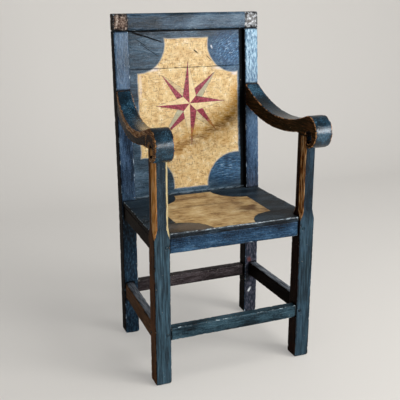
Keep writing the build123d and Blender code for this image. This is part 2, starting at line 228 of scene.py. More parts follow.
def aged_paint(name, shades, arris=("#2A2A2C", "#8A6A50"), wear=0.62, left=None, local=None,
               gloss=0.38, coat=0.22, relief=0.6, chalk=0.3):
    """Linseed-oil paint brushed along the grain over a brown priming coat, rubbed through on the
    arrises, chipped, dirty in the joints, under old gloss varnish. Shades run from the paint in
    the hollows of the brush marks to its ridges, and then the chalky bloom of dry strokes. Faces
    to the left take the colours of left, unvarnished: brown rubbed wood where those are brown,
    and painted shade where they are near black. local paints what only one piece has."""
    material = bpy.data.materials.new(name)
    material.use_nodes = True
    tree = material.node_tree
    shader = tree.nodes["Principled BSDF"]
    timber = add(tree, "Attribute", attribute_name="timber", out=1)
    rub = add(tree, "Attribute", attribute_name="rub", out=2)
    dirt = add(tree, "Attribute", attribute_name="dirt", out=2)
    here = add(tree, "TexCoord", out=3)
    facing = add(tree, "NewGeometry", out=1)

    # brush marks, drawn 3 mm wide because real ones are too fine to show
    brush = streaks(tree, timber, 45, 3, 0.0, 5.0)
    cloud = streaks(tree, timber, 130, 45, 3.7, 3.0)
    speckle = add(tree, "TexNoise", here, 420.0, 2.0, 0.5)
    tone = 0.0
    for layer, share in ((brush, 0.5), (cloud, 0.7), (speckle, 0.4)):
        tone = add(tree, "Math", layer, share, tone, operation="MULTIPLY_ADD")
    tone = add(tree, "MapRange", tone, 0.63, 0.97)
    colour = add(tree, "ValToRGB", tone, stops=list(zip((0.1, 0.5, 0.9), shades)))

    # a chalky bloom in short dry strokes
    uneven = add(tree, "Math", cloud, -0.5, operation="ADD")
    drag = streaks(tree, timber, 13, 2.2, 8.1, 3.0)
    drag = add(tree, "Math", uneven, 0.6, drag, operation="MULTIPLY_ADD")
    paling = add(tree, "MapRange", drag, 0.57, 0.68, 0.0, chalk, interpolation_type="SMOOTHSTEP")
    colour = add(tree, "Mix", paling, colour, shades[3], data_type="RGBA")
    left_face_wear_and_shade = 0.0
    # faces to the left get the colours of left: brown where rubbed to wood, near black where it is painted
    # shade
    if left:
        patchy = add(tree, "Math", add(tree, "SeparateXYZ", facing, out=0), uneven, operation="ADD")
        left_face_wear_and_shade = add(tree, "MapRange", patchy, -0.55, -0.85, 0.0, 0.97,
                          interpolation_type="SMOOTHSTEP")
        left_face_colour = add(tree, "ValToRGB", brush, stops=[(0.36, left[0]), (0.64, left[1])])
        colour = add(tree, "Mix", left_face_wear_and_shade, colour, left_face_colour, data_type="RGBA")
    unvarnished = 0.0
    if local:
        colour, unvarnished = local(tree, here, facing, timber, rub, colour)

    # wear on the arrises: a darker rim, then what lies under the paint
    ragged = streaks(tree, timber, 16, 5, 5.3, 4.0)
    ragged = add(tree, "Math", ragged, 2.0, -1.0, operation="MULTIPLY_ADD")
    worn_at = add(tree, "Math", rub, ragged, operation="ADD")
    rim = add(tree, "MapRange", worn_at, wear, wear + 0.1, 0.0, 0.8, interpolation_type="SMOOTHSTEP")
    bare = add(tree, "MapRange", worn_at, wear + 0.24, wear + 0.34, 0.0, 0.95,
               interpolation_type="SMOOTHSTEP")

    # small chips, 2 to 5 mm across, with a pale or a brown floor
    chip = add(tree, "TexNoise", here, 230.0, 2.0, 0.5)
    chip = add(tree, "Math", rub, 0.10, chip, operation="MULTIPLY_ADD")
    chip = add(tree, "MapRange", chip, 0.75, 0.78, interpolation_type="SMOOTHSTEP")
    chip_floor = add(tree, "ValToRGB", cloud, stops=[(0.46, "#24150D"), (0.54, "#B4AC9C")])

    grime = add(tree, "Math", brush, 0.4, dirt, operation="MULTIPLY_ADD")
    grime = add(tree, "MapRange", grime, 0.55, 1.2, 0.0, 0.92, interpolation_type="SMOOTHSTEP")

    for share, tint in ((rim, arris[0]), (bare, arris[1]), (chip, chip_floor), (grime, "#080706")):
        colour = add(tree, "Mix", share, colour, tint, data_type="RGBA")
    tree.links.new(colour, shader.inputs["Base Color"])
    dull = add(tree, "Math", rim, paling, operation="MAXIMUM")
    dull = add(tree, "Math", dull, grime, operation="MAXIMUM")
    tree.links.new(add(tree, "MapRange", dull, 0.0, 1.0, gloss, 0.7), shader.inputs["Roughness"])
    # bare wood, the painted shade on faces to the left, and dirt have no gloss
    for layer in (left_face_wear_and_shade, grime):
        unvarnished = add(tree, "Math", unvarnished, layer, operation="MAXIMUM")
    varnish = add(tree, "MapRange", unvarnished, 0.0, 1.0, coat, 0.0)
    tree.links.new(varnish, shader.inputs["Coat Weight"])
    shader.inputs["Specular IOR Level"].default_value = 0.02
    shader.inputs["Coat Roughness"].default_value = 0.14
    # the brush marks and the step at a chip are about half a millimetre high, also in the varnish
    height = brush
    for layer, high in ((drag, 0.7), (chip, -0.6), (rim, -0.3)):
        height = add(tree, "Math", layer, high, height, operation="MULTIPLY_ADD")
    bumpy = add(tree, "Bump", relief, 0.001, None, height)
    tree.links.new(bumpy, shader.inputs["Normal"])
    tree.links.new(bumpy, shader.inputs["Coat Normal"])
    return material


def dressed(piece, material, slot, *nodes):
    """The piece gets its finish and stands for its sawn nodes."""
    piece.data.materials.clear()
    piece.data.materials.append(material)
    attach(piece, "root")
    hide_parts(*nodes)
    return piece


chamfer_foot = 438           # the tip at which the chamfer starts
chamfer_run = 30             # how far up it reaches its full width


def rubbed_chamfers(tree, here, facing, timber, rub, colour):
    """Below the arm support the front has gone teal. The chamfers of the support are varnished
    bare pine, orange on the left-hand post and darker on the right-hand one. Those that face
    right are cream on the left-hand post and keep the blue on the right-hand one."""
    height = add(tree, "SeparateXYZ", here, out=2)
    foot, full = chamfer_foot * MM, (chamfer_foot + chamfer_run) * MM
    on_right = right_half(tree, here)
    below = add(tree, "Math", add(tree, "MapRange", height, foot, full, 1.0, 0.0),
                turned(tree, facing, 1, -0.5, -0.8), operation="MULTIPLY")
    below = add(tree, "Math", below, add(tree, "MapRange", on_right, 0.0, 1.0, 0.5, 0.25),
                operation="MULTIPLY")
    teal = add(tree, "ValToRGB", streaks(tree, timber, 70, 5, 7.7, 5.0),
               stops=[(0.36, "#26333B"), (0.48, "#3A505C"), (0.58, "#48697A"), (0.70, "#62808C")])
    colour = add(tree, "Mix", below, colour, teal, data_type="RGBA")
    # a face that leans both ways is a chamfer
    leaning = add(tree, "VectorMath", facing, operation="ABSOLUTE")
    slant = add(tree, "Math", add(tree, "SeparateXYZ", leaning, out=0),
                add(tree, "SeparateXYZ", leaning, out=1), operation="MINIMUM")
    ragged = add(tree, "Math", streaks(tree, timber, 20, 5, 1.9, 3.0), -0.5, operation="ADD")
    slant = add(tree, "Math", ragged, 0.35, slant, operation="MULTIPLY_ADD")
    above = add(tree, "MapRange", height, foot, foot + chamfer_run * MM / 3)
    on_chamfer = add(tree, "Math", above, add(tree, "MapRange", slant, 0.24, 0.34),
                     operation="MULTIPLY")
    faces_right = turned(tree, facing, 0, -0.1, 0.1)
    still_painted = add(tree, "Math", on_right, faces_right, operation="MULTIPLY")
    rubbed = add(tree, "Math", 1.0, still_painted, operation="SUBTRACT")
    on_chamfer = add(tree, "Math", on_chamfer, rubbed, operation="MULTIPLY")
    grain = streaks(tree, timber, 34, 2.4, 2.2, 6.0)
    orange = add(tree, "ValToRGB", grain,
                 stops=[(0.34, "#8A5126"), (0.45, "#D2904C"), (0.56, "#E8AA68"), (0.72, "#F0CEA0")])
    brown = add(tree, "ValToRGB", grain,
                stops=[(0.38, "#170D08"), (0.46, "#5E361C"), (0.54, "#A06A34"), (0.66, "#CDB38C")])
    cream = add(tree, "ValToRGB", grain, stops=[(0.34, "#5E4A30"), (0.46, "#B09E74"), (0.65, "#D8CCA0")])
    wood = orange
    for share, tint in ((on_right, brown), (faces_right, cream)):
        wood = add(tree, "Mix", share, wood, tint, data_type="RGBA")
    return add(tree, "Mix", on_chamfer, colour, wood, data_type="RGBA"), 0.0


# a dull slate blue in long strokes; the side to the left is bare brown wood on the left post,
# and near-black painted shade on the right post
slate_blues = {"left": ("#0E1317", "#1D272F", "#2D3E4A", "#4F6471"),
               "right": ("#0A1015", "#16222B", "#243847", "#465F6E")}
left_face_wood_and_shade = {"left": ("#3A2415", "#7E5230"), "right": ("#0E0805", "#38231A")}
for side in ("left", "right"):
    node = "front_post_" + side
    slate_paint = aged_paint("slate_blue_oil_paint_" + side, slate_blues[side],
                             arris=("#1A1512", "#8A7C6C"), wear=0.74, left=left_face_wood_and_shade[side],
                             local=rubbed_chamfers, chalk=0.18)
    dressed(worn_piece(node, "Z"), slate_paint, "painted_arm_support", node)

# ---- rear posts
# Leg and back stile sawn from one board with a bend at the seat; painted a clearer blue, chalky,
# with a painted sheen that pales the upper stiles, most on the right, and dark towards the seat.
red_patch = ((204, 196), (9, 12))        # red primer on the right-hand leg: middle and reach
leg_nick = ((201, 76), (213, 96), 4.5)   # a flake knocked off the same leg: ends and half width
dark_leg = (0.40, 0.52)                  # dark below the first height, not above the second
sheen_heights = (0.84, 1.10)                 # where the painted sheen starts and is full; both in metres
patch_rim, patch_core = 1.15, 0.35       # a patch starts and is full at these shares of its size


def millimetres(tree, here, axis, wobble=0.0):
    """One coordinate in millimetres, if wanted with the small waver of a hand-painted edge."""
    value = add(tree, "SeparateXYZ", here, out=axis)
    return add(tree, "Math", value, 1000.0, wobble, operation="MULTIPLY_ADD")


def soft_patch(tree, x, up, centre, size, ragged, strength):
    """A soft-edged oval patch, broken up by a noise: how strong it is at a point."""
    from_centre = add(tree, "VectorMath", add(tree, "CombineXYZ", x, up, 0.0), (*centre, 0),
                      operation="SUBTRACT")
    far = add(tree, "VectorMath", from_centre, (*size, 1), operation="DIVIDE")
    far = add(tree, "VectorMath", far, operation="LENGTH")
    stray = add(tree, "Math", ragged, 1.6, -0.8, operation="MULTIPLY_ADD")
    far = add(tree, "Math", far, stray, operation="ADD")
    return add(tree, "MapRange", far, patch_rim, patch_core, 0.0, strength,
               interpolation_type="SMOOTHSTEP")


def near_line(tree, x, up, start, end, half_width):
    """1 on the straight line between two points, 0 beside it."""
    long = math.dist(start, end)
    way = ((end[0] - start[0]) / long, (end[1] - start[1]) / long, 0)
    from_start = add(tree, "VectorMath", add(tree, "CombineXYZ", x, up, 0.0), (*start, 0),
                     operation="SUBTRACT")
    along = add(tree, "VectorMath", from_start, way, operation="DOT_PRODUCT")
    aside = add(tree, "VectorMath", from_start, (-way[1], way[0], 0), operation="DOT_PRODUCT")
    aside = add(tree, "Math", aside, operation="ABSOLUTE")
    beside = add(tree, "MapRange", aside, half_width * 0.5, half_width, 1.0, 0.0)
    within = add(tree, "Math", add(tree, "MapRange", along, 0.0, 6.0),
                 add(tree, "MapRange", along, long - 12, long, 1.0, 0.0), operation="MULTIPLY")
    return add(tree, "Math", beside, within, operation="MULTIPLY")


def paler_upwards(tree, here, facing, timber, rub, colour):
    """The stile is palest at the top, most on the right: a painted sheen on the varnish. Below
    the seat the paint is dark, navy on the left leg and plum on the right one."""
    height = add(tree, "SeparateXYZ", here, out=2)
    x, up = millimetres(tree, here, 0), millimetres(tree, here, 2)
    on_right = right_half(tree, here)
    front_face = turned(tree, facing, 1, -0.5, -0.8)
    cloud = streaks(tree, timber, 12, 5, 6.6, 6.0)
    leg = add(tree, "Math", add(tree, "MapRange", height, *dark_leg, 0.9, 0.0),
              turned(tree, facing, 0, -0.8, -0.5), operation="MULTIPLY")
    plum = add(tree, "ValToRGB", cloud, stops=[(0.35, "#0F0E12"), (0.5, "#2A2B33"), (0.66, "#53505A")])
    navy = add(tree, "ValToRGB", cloud, stops=[(0.35, "#0A1218"), (0.5, "#172836"), (0.66, "#2C4A5E")])
    dark = add(tree, "Mix", on_right, navy, plum, data_type="RGBA")
    red = soft_patch(tree, x, up, *red_patch, cloud, 0.6)
    red = add(tree, "Math", red, front_face, operation="MULTIPLY")
    # painted sheen: the upper front faces of the stiles are painted pale, most on the right-hand one
    lifted = add(tree, "Math", cloud, 0.34, height, operation="MULTIPLY_ADD")
    paling = add(tree, "MapRange", lifted, *sheen_heights, interpolation_type="SMOOTHSTEP")
    for share in (front_face, add(tree, "MapRange", on_right, 0.0, 1.0, 0.12, 0.95)):
        paling = add(tree, "Math", paling, share, operation="MULTIPLY")
    pale = add(tree, "ValToRGB", cloud, stops=[(0.38, "#456A86"), (0.48, "#769CB5"), (0.6, "#A2C2D4")])
    nick = near_line(tree, x, up, *leg_nick)
    nick = add(tree, "Math", nick, front_face, operation="MULTIPLY")
    for share, tint in ((leg, dark), (red, "#6E3B30"), (paling, pale), (nick, "#D8DCDE")):
        colour = add(tree, "Mix", share, colour, tint, data_type="RGBA")
    return colour, 0.0


# a clear mid blue, dry and chalky: it shows its brush marks more than any other
# its faces to the left are near black: painted shade
stile_paint = aged_paint("chalky_blue_oil_paint", ("#141F2C", "#2E435C", "#455F7C", "#7894B0"),
                         arris=("#3A4C5E", "#AEC2D2"), wear=0.64, left=("#0A0706", "#20140E"),
                         local=paler_upwards, chalk=0.35)
for side in ("left", "right"):
    node = "rear_post_" + side
    dressed(worn_piece(node, "Z"), stile_paint, "blue_painted_wood", node)

# ---- seat rails and stretchers
# Sawn pine sticks, tenoned and pegged into the posts. Feet have kicked the stretchers pale along
# their upper arrises. Paint bridges the seam between the front rail and the seat on it.
up, down, back, fore = (2, 1), (2, -1), (1, 1), (1, -1)


def sky_sheen_on_top(tree, here, facing, timber, rub, colour):
    """The top of the stretcher is painted pale grey: a painted reflection of the sky in its varnish."""
    top = add(tree, "Math", turned(tree, facing, 2, 0.6, 0.8), 0.75, operation="MULTIPLY")
    grey = add(tree, "ValToRGB", streaks(tree, timber, 40, 4, 6.1, 5.0),
               stops=[(0.36, "#3A3F46"), (0.5, "#6C747E"), (0.66, "#98A0A8")])
    return add(tree, "Mix", top, colour, grey, data_type="RGBA"), 0.0


# on all of these but the rubbed brown one, faces to the left are near black: painted shade, with a little
# brown wood
# the bluest paint on the chair, on the front and rear seat rails
rail_paint = aged_paint("deep_blue_oil_paint", ("#0D1722", "#1F3850", "#345674", "#7C9CB4"),
                        arris=("#22303C", "#9DB0BE"), wear=0.70, left=("#0C0806", "#2A1C13"), chalk=0.25)
# blue that has gone greenish under its varnish, on the front stretcher
teal_paint = aged_paint("teal_blue_oil_paint", ("#0E171C", "#223640", "#38525E", "#64828E"),
                        arris=("#26343A", "#A3B5BC"), wear=0.70, left=("#120C08", "#3A2618"), chalk=0.25)
# blue worn so thin that the brown priming coat turns it to plum
plum_paint = aged_paint("brown_blue_oil_paint", ("#151011", "#2D2627", "#4A4143", "#77727A"),
                        arris=("#1E1A1A", "#7E766E"), wear=0.70, left=("#0E0906", "#2C1D13"), chalk=0.25)
# nearly black, with its top painted pale grey as a painted reflection of the sky
dark_paint = aged_paint("blackened_oil_paint", ("#0D0B0C", "#1D1A1C", "#322D32", "#5A5A62"),
                        arris=("#1E1A1A", "#6E6660"), wear=0.74, left=("#080504", "#1C120C"), local=sky_sheen_on_top)
# the same, but rubbed to brown wood on its outer side
rubbed_paint = aged_paint("rubbed_brown_oil_paint", ("#100E0F", "#2A2629", "#443E44", "#6C6C74"),
                          arris=("#2A1C14", "#8A6A4E"), wear=0.70, left=("#3A2415", "#7E5632"),
                          local=sky_sheen_on_top)
for node, grain, paint in (("rear_seat_rail", "X", rail_paint),
                           ("side_seat_rail_left", "Y", plum_paint),
                           ("side_seat_rail_right", "Y", plum_paint),
                           ("front_stretcher", "X", teal_paint),
                           ("rear_stretcher", "X", plum_paint),
                           ("side_stretcher_left", "Y", rubbed_paint),
                           ("side_stretcher_right", "Y", dark_paint)):
    dressed(worn_piece(node, grain), paint, "blue_painted_wood", node)
dressed(worn_piece("front_seat_rail", "X", seams=(up,), bridged=("seat_board",)), rail_paint,
        "blue_painted_wood", "front_seat_rail")

# ---- crest rail
# One piece across the tops of the stiles, rounded along its upper arrises by hands. Over each
# stile the paint has flaked off the end of the rail in a square, mottled patch.
stile_inner_face = 189       # how far out the stile begins
flake_centre = (215, 984)    # how far out and up the middle of each patch lies
flake_half, frame_half = 13, 20   # half as wide as the patch, and as its dark frame


def flaked_ends(tree, here, facing, timber, rub, colour):
    """Mottled layers of old paint and bare wood over each stile, paler on the right, in a dark
    frame where the flaking stopped."""
    out_to = add(tree, "Math", millimetres(tree, here, 0), operation="ABSOLUTE")
    out_to = add(tree, "Math", streaks(tree, timber, 12, 12, 4.4, 3.0), 6.0, out_to,
                 operation="MULTIPLY_ADD")
    end = add(tree, "MapRange", out_to, stile_inner_face + 1, stile_inner_face + 5)
    spots = add(tree, "TexNoise", here, 120.0, 6.0, 0.7)
    left_layers = add(tree, "ValToRGB", spots, stops=[(0.36, "#1A1412"), (0.46, "#57453C"),
                                                      (0.55, "#8C7A6E"), (0.66, "#D2C6BA")])
    right_layers = add(tree, "ValToRGB", spots, stops=[(0.34, "#2A2726"), (0.44, "#6E6A67"),
                                                       (0.54, "#A2A6AA"), (0.64, "#E4E6E8")])
    layers = add(tree, "Mix", right_half(tree, here), left_layers, right_layers, data_type="RGBA")
    from_middle = add(tree, "CombineXYZ", out_to, millimetres(tree, here, 2), 0.0)
    from_middle = add(tree, "VectorMath", from_middle, (*flake_centre, 0), operation="SUBTRACT")
    from_middle = add(tree, "VectorMath", from_middle, operation="ABSOLUTE")
    reach = add(tree, "Math", add(tree, "SeparateXYZ", from_middle, out=0),
                add(tree, "SeparateXYZ", from_middle, out=1), operation="MAXIMUM")
    frame_share = add(tree, "Math", add(tree, "MapRange", reach, flake_half, frame_half, 0.0, 0.85),
                      add(tree, "MapRange", spots, 0.62, 0.5, 0.3, 1.0), operation="MULTIPLY")
    layers = add(tree, "Mix", frame_share, layers, "#1D1D1F", data_type="RGBA")
    return add(tree, "Mix", end, colour, layers, data_type="RGBA"), end


# grey-blue and cloudy where hands have polished it
# its left end is near black: painted shade
crest_paint = aged_paint("grey_blue_oil_paint", ("#16222A", "#304456", "#496073", "#869CAC"),
                         arris=("#2A343C", "#98A2A8"), wear=0.70, left=("#060505", "#1C140F"),
                         local=flaked_ends, chalk=0.3)
dressed(worn_piece("crest_rail", "X"), crest_paint, "blue_painted_wood", "crest_rail")

# ---- back panel
# Three thin pine boards with their edges in grooves, painted blue, with a cream field hollowed at
# its corners and an eight-pointed compass star. The varnish has browned in patches.
field_sides = (-160, 167, 470, 932)   # left, right, foot and top
# the hollows at the corners of the field: centre and radius
field_hollows = ((-159, 919, 88), (157, 915, 91), (160, 470, 102), (-150, 478, 97))
star_centre = (4, 734)
star_turn = math.radians(1.0)
star_height_share = 1.05     # the star is a little taller than it is wide
# from the centre to the tips of the front points, and of the diagonal ones behind them
right_reach, left_reach, upright_reach = 119, 112, 125
diagonal_reach = 125
point_slope = 0.215          # how fast a point widens from its tip
# the crack at the upper left, scratches beside it, and a nick in the field: ends and half width
cracks = (((-178, 955), (-133, 941), 3.6), ((-142, 944), (-74, 921), 2.6),
          ((-150, 920), (-88, 878), 1.1), ((-165, 935), (-120, 905), 1.1),
          ((20, 899), (40, 883), 2.6), ((62, 880), (86, 858), 1.2))
white_nick = ((79, 911), (85, 897), 3.0)
seam_height = 845            # an open seam between two of the boards


def waver(tree, here, size, amount, shift):
    """How far a painted edge strays, in millimetres."""
    placed = add(tree, "Mapping", here, (shift,) * 3)
    stray = add(tree, "TexNoise", placed, 1000 / size, 2.0, 0.5)
    return add(tree, "Math", stray, amount * 2, -amount, operation="MULTIPLY_ADD")


def inside_field(tree, x, up, sides, hollows):
    """Millimetres from the edge of the field, positive inside it."""
    left, right, low, high = sides
    gaps = [add(tree, "Math", more, less, operation="SUBTRACT")
            for more, less in ((x, left), (right, x), (up, low), (high, up))]
    spot = add(tree, "CombineXYZ", x, up, 0.0)
    for cx, cy, radius in hollows:
        far = add(tree, "VectorMath", spot, (cx, cy, 0), operation="DISTANCE")
        gaps.append(add(tree, "Math", far, radius, operation="SUBTRACT"))
    room = gaps[0]
    for gap in gaps[1:]:
        room = add(tree, "Math", room, gap, operation="MINIMUM")
    return room


def star_points(tree, x, up, colour, turn, reach, pale):
    """Four points of the star, each split along its middle into a red half and a pale half, with
    a thin dark outline that has partly gone."""
    dx = add(tree, "Math", x, star_centre[0], operation="SUBTRACT")
    dz = add(tree, "Math", up, star_centre[1], operation="SUBTRACT")
    dz = add(tree, "Math", dz, star_height_share, operation="DIVIDE")
    far = add(tree, "VectorMath", add(tree, "CombineXYZ", dx, dz, 0.0), operation="LENGTH")
    angle = add(tree, "Math", dz, dx, operation="ARCTAN2")
    angle = add(tree, "Math", angle, turn, operation="SUBTRACT")
    # the angle from the middle of the nearest of the four points
    angle = add(tree, "Math", angle, math.pi / 4, -math.pi / 4, operation="WRAP")
    along = add(tree, "Math", far, add(tree, "Math", angle, operation="COSINE"), operation="MULTIPLY")
    aside = add(tree, "Math", far, add(tree, "Math", angle, operation="SINE"), operation="MULTIPLY")
    half_width = add(tree, "Math", reach, along, operation="SUBTRACT")
    half_width = add(tree, "Math", half_width, point_slope, operation="MULTIPLY")
    room = add(tree, "Math", half_width, add(tree, "Math", aside, operation="ABSOLUTE"),
               operation="SUBTRACT")
    inside = add(tree, "MapRange", room, -0.4, 0.4)
    red_half = add(tree, "MapRange", aside, -0.4, 0.4)
    flecks = add(tree, "TexNoise", add(tree, "CombineXYZ", x, up, 0.0), 0.16, 5.0, 0.65)
    red = add(tree, "ValToRGB", flecks, stops=[(0.36, "#4E1620"), (0.50, "#85283A"), (0.64, "#A9495A")])
    painted = add(tree, "Mix", red_half, pale, red, data_type="RGBA")
    colour = add(tree, "Mix", inside, colour, painted, data_type="RGBA")
    line = add(tree, "Math", add(tree, "MapRange", room, -1.4, -0.2),
               add(tree, "MapRange", room, 0.2, 1.4, 1.0, 0.0), operation="MULTIPLY")
    for share in (add(tree, "MapRange", flecks, 0.4, 0.6, 0.75, 0.1),
                  add(tree, "MapRange", half_width, -0.4, 0.4)):
        line = add(tree, "Math", line, share, operation="MULTIPLY")
    return add(tree, "Mix", line, colour, "#3E3024", data_type="RGBA")


stroke_slant = math.radians(-35)
shadow_under_crest, shadow_beside_stile = 952, 173   # where the painted black shadow begins, up and to the right
rubbed_foot = (452, 457)     # the strip rubbed pale above the seat ends between these
# whitened varnish at the shoulders of the field: where, how large, how strong
whitened = (((128, 840), (44, 9), 0.75), ((-128, 845), (46, 11), 0.75), ((158, 822), (12, 9), 0.75),
            ((-154, 790), (6, 44), 0.35))
# varnish gone golden, and browned: where on the panel, how large, how strong
golden_stains = (((160, 738), (26, 60), 0.95), ((142, 702), (40, 40), 0.95), ((104, 668), (50, 32), 0.9),
                 ((48, 642), (80, 28), 0.8), ((-50, 602), (90, 32), 0.7), ((130, 620), (60, 26), 0.3))
brown_stains = (((138, 677), (24, 13), 0.8), ((108, 659), (34, 13), 0.8), ((74, 645), (36, 12), 0.75),
                ((36, 629), (40, 11), 0.75), ((-6, 612), (50, 13), 0.75), ((-50, 596), (50, 16), 0.7),
                ((152, 706), (12, 16), 0.35))


def panel_painting(tree, here, facing, timber, rub, colour):
    """The cream field, the star, the browned varnish over them, the seam and the cracks, all on the
    front, and a black painted shadow under the crest and beside the right-hand stile, left
    unvarnished. The back is painted plain blue."""
    plain = colour
    in_front = turned(tree, facing, 1, -0.2, -0.4)
    x = millimetres(tree, here, 0, waver(tree, here, 22, 2.6, 0.0))
    up = millimetres(tree, here, 2, waver(tree, here, 22, 2.6, 7.0))
    steady_x = millimetres(tree, here, 0, waver(tree, here, 15, 0.7, 3.0))
    steady_up = millimetres(tree, here, 2, waver(tree, here, 15, 0.7, 5.0))

    # the blue is brightest in broad strokes, slanting at the upper right and level at the foot;
    # the palest of them are painted glints of light in the varnish
    slanting = add(tree, "Mapping", here, None, (0, stroke_slant, 0), (1.0, 1.0, 0.25),
                   vector_type="TEXTURE")
    slanting = add(tree, "TexNoise", slanting, 110.0, 6.0, 0.6, None, 0.6)
    level = add(tree, "Mapping", here, None, None, (1.0, 1.0, 4.0))
    level = add(tree, "TexNoise", level, 60.0, 6.0, 0.6)
    for strokes, centre, size, strength in ((slanting, (150, 895), (100, 75), 0.85),
                                            (level, (130, 520), (110, 62), 0.55)):
        vivid = add(tree, "ValToRGB", strokes, stops=[(0.40, "#102840"), (0.50, "#224E78"),
                                                      (0.58, "#3E7AA6"), (0.66, "#A8C6DA")])
        patch = soft_patch(tree, steady_x, steady_up, centre, size, strokes, strength)
        colour = add(tree, "Mix", patch, colour, vivid, data_type="RGBA")

    room = inside_field(tree, x, up, field_sides, field_hollows)
    in_field = add(tree, "MapRange", room, -1.0, 1.0)
    mottle = add(tree, "TexNoise", here, 60.0, 8.0, 0.68)
    cream = add(tree, "ValToRGB", mottle, stops=[(0.32, "#BC955C"), (0.44, "#D3B17A"),
                                                 (0.56, "#DEC38E"), (0.68, "#EBDBB6")])
    # fine brown cracks in the old varnish, upright and level
    upright_hairs = add(tree, "Mapping", here, None, None, (1.0, 1.0, 0.35))
    upright_hairs = add(tree, "TexNoise", upright_hairs, 330.0, 4.0, 0.6)
    level_hairs = add(tree, "Mapping", here, None, None, (0.16, 1.0, 1.0))
    level_hairs = add(tree, "TexNoise", level_hairs, 400.0, 4.0, 0.6)
    hairs = add(tree, "Math", upright_hairs, level_hairs, operation="MAXIMUM")
    hairs = add(tree, "MapRange", hairs, 0.54, 0.66, 0.0, 0.75)
    cream = add(tree, "Mix", hairs, cream, "#7C5630", data_type="RGBA")
    for centre, size, strength in whitened:
        patch = soft_patch(tree, steady_x, steady_up, centre, size, mottle, strength)
        cream = add(tree, "Mix", patch, cream, "#E2DAD6", data_type="RGBA")
    # the grey-green of the diagonal points has lasted best at the upper right and lower left
    aside = add(tree, "Math", steady_x, star_centre[0], operation="SUBTRACT")
    above = add(tree, "Math", steady_up, star_centre[1], operation="SUBTRACT")
    lasting = add(tree, "Math", aside, above, operation="MULTIPLY")
    lasting = add(tree, "MapRange", lasting, -90, 90, 0.25, 0.65)
    grey_green = add(tree, "Mix", lasting, cream, "#8F9888", data_type="RGBA")
    light_cream = add(tree, "Mix", 0.4, cream, "#E6D6AC", data_type="RGBA")
    cream = star_points(tree, steady_x, steady_up, cream, star_turn + math.pi / 4, diagonal_reach,
                        grey_green)
    upright = add(tree, "Math", add(tree, "Math", above, operation="ABSOLUTE"),
                  add(tree, "Math", aside, operation="ABSOLUTE"), operation="SUBTRACT")
    reach = add(tree, "MapRange", aside, -40.0, -20.0, left_reach, right_reach)
    upright = add(tree, "MapRange", upright, -5.0, 5.0)
    reach = add(tree, "Mix", upright, reach, upright_reach, data_type="FLOAT")
    cream = star_points(tree, steady_x, steady_up, cream, star_turn, reach, light_cream)

    for stains, tint in ((golden_stains, "#C08C30"), (brown_stains, "#5E360F")):
        stained = 0.0
        for centre, size, strength in stains:
            patch = soft_patch(tree, steady_x, steady_up, centre, size, mottle, strength)
            stained = add(tree, "Math", stained, patch, operation="MAXIMUM")
        streaky = add(tree, "MapRange", level_hairs, 0.42, 0.58, 0.35, 1.0)
        stained = add(tree, "Math", stained, streaky, operation="MULTIPLY")
        cream = add(tree, "Mix", stained, cream, tint, data_type="RGBA")
    edge_line = add(tree, "Math", add(tree, "MapRange", room, -3.5, -1.0, 0.0, 0.55),
                    add(tree, "MapRange", room, -1.0, 1.0, 1.0, 0.0), operation="MULTIPLY")

    seam = add(tree, "Math", steady_up, seam_height, operation="SUBTRACT")
    seam = add(tree, "Math", seam, operation="ABSOLUTE")
    dark = add(tree, "Math", add(tree, "MapRange", seam, 0.8, 1.8, 1.0, 0.0),
               add(tree, "MapRange", mottle, 0.42, 0.6, 0.95, 0.25), operation="MULTIPLY")
    for crack in cracks:
        dark = add(tree, "Math", dark, near_line(tree, steady_x, steady_up, *crack),
                   operation="MAXIMUM")
    # painted shadow: black bands on the panel under the crest rail and beside the right-hand stile
    for place, edge in ((steady_up, shadow_under_crest), (x, shadow_beside_stile)):
        shadowed = add(tree, "MapRange", place, edge, edge + 3, 0.0, 0.97)
        dark = add(tree, "Math", dark, shadowed, operation="MAXIMUM")
    nick = near_line(tree, steady_x, steady_up, *white_nick)
    foot = add(tree, "Math", add(tree, "MapRange", steady_up, *rubbed_foot, 1.0, 0.0),
               add(tree, "MapRange", level, 0.45, 0.55, 0.0, 0.7), operation="MULTIPLY")
    for share, tint in ((edge_line, "#D6CBBB"), (in_field, cream), (dark, "#060505"),
                        (nick, "#E4EAEE"), (foot, "#9DB0BC")):
        colour = add(tree, "Mix", share, colour, tint, data_type="RGBA")
    return (add(tree, "Mix", in_front, plain, colour, data_type="RGBA"),
            add(tree, "Math", dark, in_front, operation="MULTIPLY"))


# a thin grey-blue ground, with the painting in yellowed cream, dull red and grey-green on it
panel_paint = aged_paint("field_and_star_oil_paint", ("#15232F", "#2E4454", "#465E71", "#7C95AA"),
                         local=panel_painting, chalk=0.3)
for part, seams in (("top", (down,)), ("middle", (up, down)), ("bottom", (up,))):
    node = "back_board_" + part
    dressed(worn_piece(node, "X", chip=0.8, seams=seams, bridged=("back_board",)), panel_paint,
            "painted_panel", node)

# ---- seat
# Three flat pine boards laid side to side, the first and last notched round the posts, nailed to
# the side rails. A tan field with hollowed corners is worn brown where the sitter slides.
seat_field = (-150, 148, -163, 164)   # left, right, front and rear
seat_hollows = ((-152, -176, 88), (150, -176, 90), (152, 166, 92), (-154, 166, 90))
# wear down to brown wood, then where the blue has browned and where it is knocked white
seat_stains = (((95, -40), (40, 34), 0.6), ((92, 20), (26, 22), 0.5), ((-20, 40), (120, 12), 0.45),
               ((-40, 120), (90, 18), 0.5))
browned_corner = ((-110, -130), (90, 46))
specked = ((-205, -70), (40, 90))


